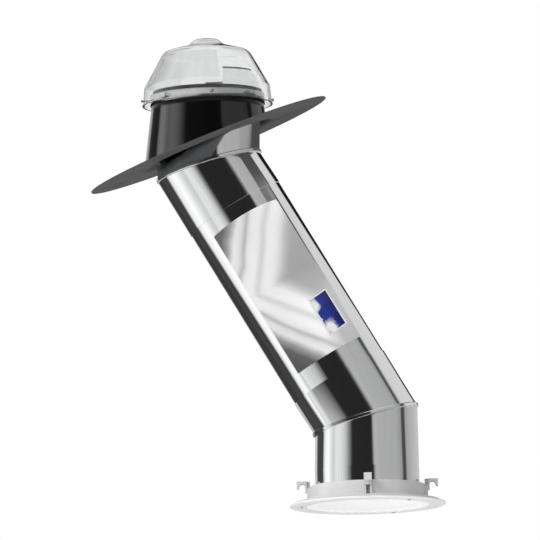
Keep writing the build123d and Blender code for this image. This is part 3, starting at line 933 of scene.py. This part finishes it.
@dataclass(frozen=True)
class Lamp:
    """One soft square lamp that lights the part's middle, placed from there."""

    name: str
    offset: Triple
    size: float
    power: float

    def build(self, middle: Vector) -> None:
        """Add the lamp, unseen in mirrors and through glass.

        Args:
            middle: the part's middle.
        """
        data = bpy.data.lights.new(self.name, "AREA")
        data.size = self.size
        data.energy = self.power
        made = bpy.data.objects.new(self.name, data)
        made.location = middle + Vector(self.offset)
        made.rotation_euler = (middle - made.location).to_track_quat("-Z", "Y").to_euler()
        made.visible_glossy = False
        made.visible_transmission = False
        bpy.context.scene.collection.objects.link(made)


@dataclass
class Studio:
    """White room with upright dark and light panels round it, which only mirror surfaces show.

    The panels lean apart with height: the tilt says how far for each degree of rise over eye_rise, and tilt_rise is
    the last rise that counts. It turns from one side to the other within tilt_bearing of the middle and fades out
    over tilt_fade. Matt surfaces see an even light that falls from the room's left to its right. The patches stand
    low at the back left, high at the right and high at the back right.
    """

    floor_level: float = -4.4
    floor_half: float = 60.0
    floor_tone: Colour = (0.95, 0.95, 0.95)
    tilt: float = 0.68
    tilt_rise: float = 60.0
    tilt_bearing: float = 12.0
    tilt_fade: Pair = (60.0, 110.0)
    eye_rise: float = 6.0
    bands: tuple[Band, ...] = (
        Band(-180, 0.62), Band(-150, 0.64), Band(-143, 0.07), Band(-116, 0.05), Band(-109, 0.95), Band(-97, 1.15),
        Band(-88, 0.85), Band(-80, 0.66), Band(-74, 0.86), Band(-62, 0.84), Band(-50, 0.62), Band(-38, 0.16),
        Band(-33, 0.02), Band(14, 0.018), Band(19, 0.50), Band(30, 0.46), Band(70, 0.44), Band(84, 0.34),
        Band(88, 0.07), Band(96, 0.07), Band(100, 0.40), Band(120, 0.50), Band(150, 0.58), Band(180, 0.6),
    )
    patches: tuple[Patch, ...] = (
        Patch(0.045, (-186.0, -180.0, -140.0, -134.0), (-91.0, -90.0, -2.5, 1.5)),
        Patch(0.72, (99.0, 106.0, 140.0, 144.0), (14.0, 18.0, 90.0, 91.0)),
        Patch(0.008, (140.0, 144.0, 180.0, 186.0), (9.5, 12.0, 90.0, 91.0)),
    )
    overhead: Colour = (0.8, 0.8, 0.8)
    overhead_rise: Pair = (48.0, 66.0)
    room_light: Pair = (0.98, 0.30)
    room_edge: float = 0.4
    lamps: tuple[Lamp, ...] = (
        Lamp("key", (-3.2, -3.6, 2.4), size=2.4, power=120.0),
        Lamp("fill", (3.6, -3.0, 0.4), size=3.0, power=18.0),
        Lamp("low", (-0.8, -1.8, -3.2), size=2.8, power=45.0),
    )

    def panels(self, nodes: Nodes, bearing: Socket, rise: Socket) -> Socket:
        """Light of the panels all round.

        Args:
            nodes: the world's nodes.
            bearing: bearing of the look in degrees.
            rise: rise of the look in degrees.

        Returns:
            The colour socket.
        """
        level, side = self.tilt_rise, self.tilt_bearing
        slide = nodes.calc(
            Op.MULTIPLY,
            nodes.spread(rise, -level, level, -level - self.eye_rise, level - self.eye_rise),
            nodes.spread(bearing, -side, side, -1.0, 1.0))
        slide = nodes.calc(Op.MULTIPLY, slide, self.tilt)
        near = nodes.spread(nodes.calc(Op.ABSOLUTE, bearing), *self.tilt_fade, 1.0, 0.0)
        place = nodes.calc(Op.SUBTRACT, bearing, nodes.calc(Op.MULTIPLY, slide, near))
        steps = [((band.bearing + 180.0) / 360.0, band.light) for band in self.bands]
        shown = nodes.ramp(nodes.spread(place, -180.0, 180.0), steps)
        for patch in self.patches:
            mask = 1.0
            for angle, (start, full, still, end) in ((bearing, patch.bearing), (rise, patch.rise)):
                for low, high in ((start, full), (end, still)):
                    mask = nodes.calc(Op.MULTIPLY, mask, nodes.spread(angle, low, high))
            shown = nodes.blend(mask, shown, (patch.light,) * 3)
        return nodes.blend(nodes.spread(rise, *self.overhead_rise), shown, self.overhead)

    def world(self) -> None:
        """Build the world: white for the camera and glass, panels for mirrors, even light for the rest."""
        world = bpy.data.worlds.new("studio")
        bpy.context.scene.world = world
        world.use_nodes = True
        nodes = Nodes(world.node_tree)
        x, y, z = nodes.split(nodes.node("TexCoord").outputs["Generated"])
        bearing, rise = (
            nodes.calc(Op.MULTIPLY, angle, math.degrees(1.0))
            for angle in (nodes.calc(Op.ARCTAN2, x, nodes.calc(Op.MULTIPLY, y, -1.0)), nodes.calc(Op.ARCSINE, z))
        )
        room = nodes.spread(x, -self.room_edge, self.room_edge, *self.room_light)
        path = nodes.node("LightPath").outputs
        seen = nodes.blend(path["Is Glossy Ray"], room, self.panels(nodes, bearing, rise))
        white = nodes.calc(Op.MAXIMUM, path["Is Camera Ray"], path["Is Transmission Ray"])
        light = nodes.node("Background", {0: nodes.blend(white, seen, (1.0, 1.0, 1.0)), 1: 1.0})
        nodes.node("OutputWorld", {0: light.outputs[0]})

    def floor(self) -> None:
        """Lay the plain pale floor, far below the hanging part and clear from below."""
        half = self.floor_half
        mesh = bpy.data.meshes.new("floor")
        corners = ((-half, -half), (half, -half), (half, half), (-half, half))
        mesh.from_pydata([(x, y, self.floor_level) for x, y in corners], [], [(0, 1, 2, 3)])
        floor = bpy.data.objects.new("floor", mesh)
        bpy.context.scene.collection.objects.link(floor)
        bench = Bench("floor_white")
        plain = bench.node("BsdfDiffuse", {"Color": (*self.floor_tone, 1.0)})
        white = bench.node("Emission", {"Color": (1.0, 1.0, 1.0, 1.0), "Strength": 1.0})
        clear = bench.node("BsdfTransparent")
        path = bench.node("LightPath").outputs
        seen = bench.calc(Op.MAXIMUM, path["Is Camera Ray"], path["Is Transmission Ray"])
        top = bench.node("MixShader", {0: seen, 1: plain.outputs[0], 2: white.outputs[0]})
        below = bench.node("NewGeometry").outputs["Backfacing"]
        both = bench.node("MixShader", {0: below, 1: top.outputs[0], 2: clear.outputs[0]})
        bench.tree.links.new(both.outputs[0], bench.output.inputs["Surface"])
        mesh.materials.append(bench.material)
        floor.visible_glossy = False

    def build(self, middle: Vector) -> None:
        """Build world, floor and lamps.

        Args:
            middle: the part's middle.
        """
        self.world()
        self.floor()
        for lamp in self.lamps:
            lamp.build(middle)


@dataclass
class PhotoCamera:
    """Long lens a little below the part, looking slightly up and rolled a little."""

    aim: Triple = (0.1423, 0.0, -0.311)
    climb: float = 7.7
    roll: float = 1.45
    distance: float = 24.0
    view_width: float = 1.3176
    sensor: float = 36.0
    clip_end: float = 200.0

    def build(self) -> None:
        """Place the camera and make it the scene's own."""
        climb, roll = math.radians(self.climb), math.radians(self.roll)
        ahead = Vector((0.0, math.cos(climb), math.sin(climb)))
        level = Vector((1.0, 0.0, 0.0))
        upward = Vector((0.0, -math.sin(climb), math.cos(climb)))
        right = level * math.cos(roll) - upward * math.sin(roll)
        up = level * math.sin(roll) + upward * math.cos(roll)
        data = bpy.data.cameras.new("photo_camera")
        data.sensor_width = self.sensor
        data.lens = self.sensor * self.distance / self.view_width
        data.clip_end = self.clip_end
        camera = bpy.data.objects.new("photo_camera", data)
        turn = Matrix((right, up, -ahead)).transposed()
        camera.matrix_world = Matrix.Translation(Vector(self.aim) - ahead * self.distance) @ turn.to_4x4()
        bpy.context.scene.collection.objects.link(camera)
        bpy.context.scene.camera = camera


def main() -> None:
    """Dress the part group by group, then build the studio and the camera."""
    logging.basicConfig(level=logging.INFO, format="%(message)s")
    for group in (RoofGroup(), LeaningLeg(), CeilingGroup()):
        group.build()
        log.info("%s done", type(group).__name__)
    low, high = (Vector(corner) for corner in CAD_BOX)
    Studio().build((low + high) / 2)
    PhotoCamera().build()
    bpy.context.scene.view_settings.view_transform = "Standard"


if __name__ == "__main__":
    main()
